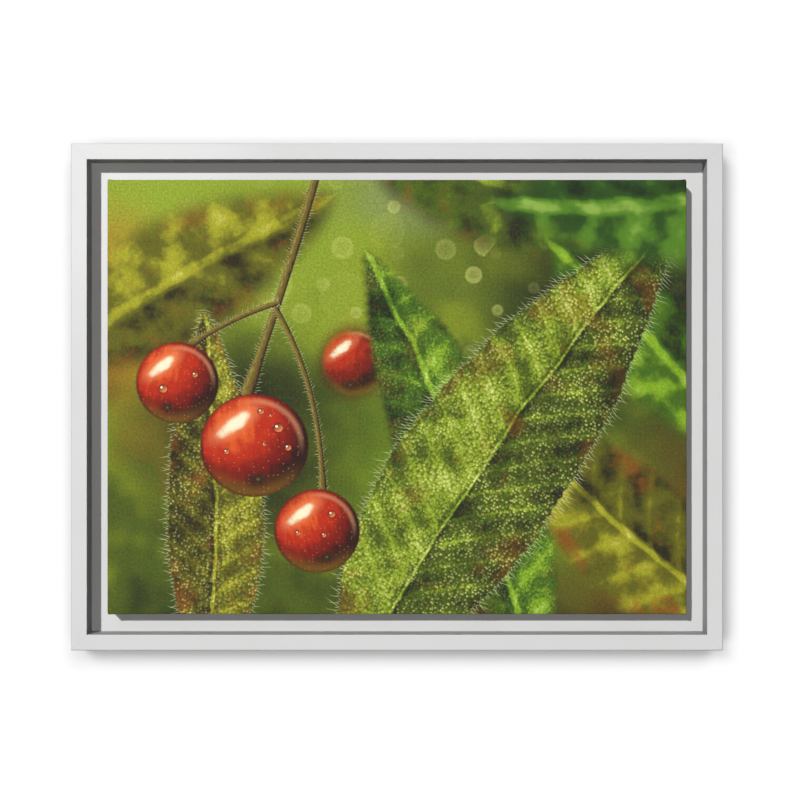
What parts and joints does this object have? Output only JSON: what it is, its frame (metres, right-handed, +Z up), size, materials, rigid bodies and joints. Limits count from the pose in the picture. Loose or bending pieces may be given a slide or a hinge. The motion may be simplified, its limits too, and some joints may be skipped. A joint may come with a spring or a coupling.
{
  "type": "framed canvas print",
  "caption": "Landscape canvas print stretched over wooden bars and set in a white floater frame with an open gap round the canvas; hangs on a wall by a sawtooth hanger.",
  "frame": {"origin": "the point on the wall where the nail passes under the middle notch of the sawtooth hanger", "axes": "+X to the right and +Z up as seen from the front; the picture faces -Y and the wall is the plane y = 0"},
  "size_m": [0.4572, 0.036, 0.3556],
  "materials": {
    "frame_paint": "satin white paint on mitred wooden rails",
    "canvas_print": "matt printed canvas with a fine plain weave",
    "pine": "planed raw pine",
    "zinc_steel": "bright zinc plate",
    "bumper_rubber": "soft translucent grey rubber"
  },
  "bodies": {
    "root": {"frame_top": "frame_paint", "frame_bottom": "frame_paint", "frame_left": "frame_paint", "frame_right": "frame_paint", "stretcher_top": "pine", "stretcher_bottom": "pine", "stretcher_left": "pine", "stretcher_right": "pine", "canvas": "canvas_print", "screw_top_1": "zinc_steel", "screw_top_2": "zinc_steel", "screw_right_1": "zinc_steel", "screw_right_2": "zinc_steel", "screw_bottom_1": "zinc_steel", "screw_bottom_2": "zinc_steel", "screw_left_1": "zinc_steel", "screw_left_2": "zinc_steel", "hanger_sawtooth": "zinc_steel", "hanger_nail_left": "zinc_steel", "hanger_nail_right": "zinc_steel", "bumper_top_left": "bumper_rubber", "bumper_top_right": "bumper_rubber", "bumper_bottom_left": "bumper_rubber", "bumper_bottom_right": "bumper_rubber"}
  },
  "joints": []
}
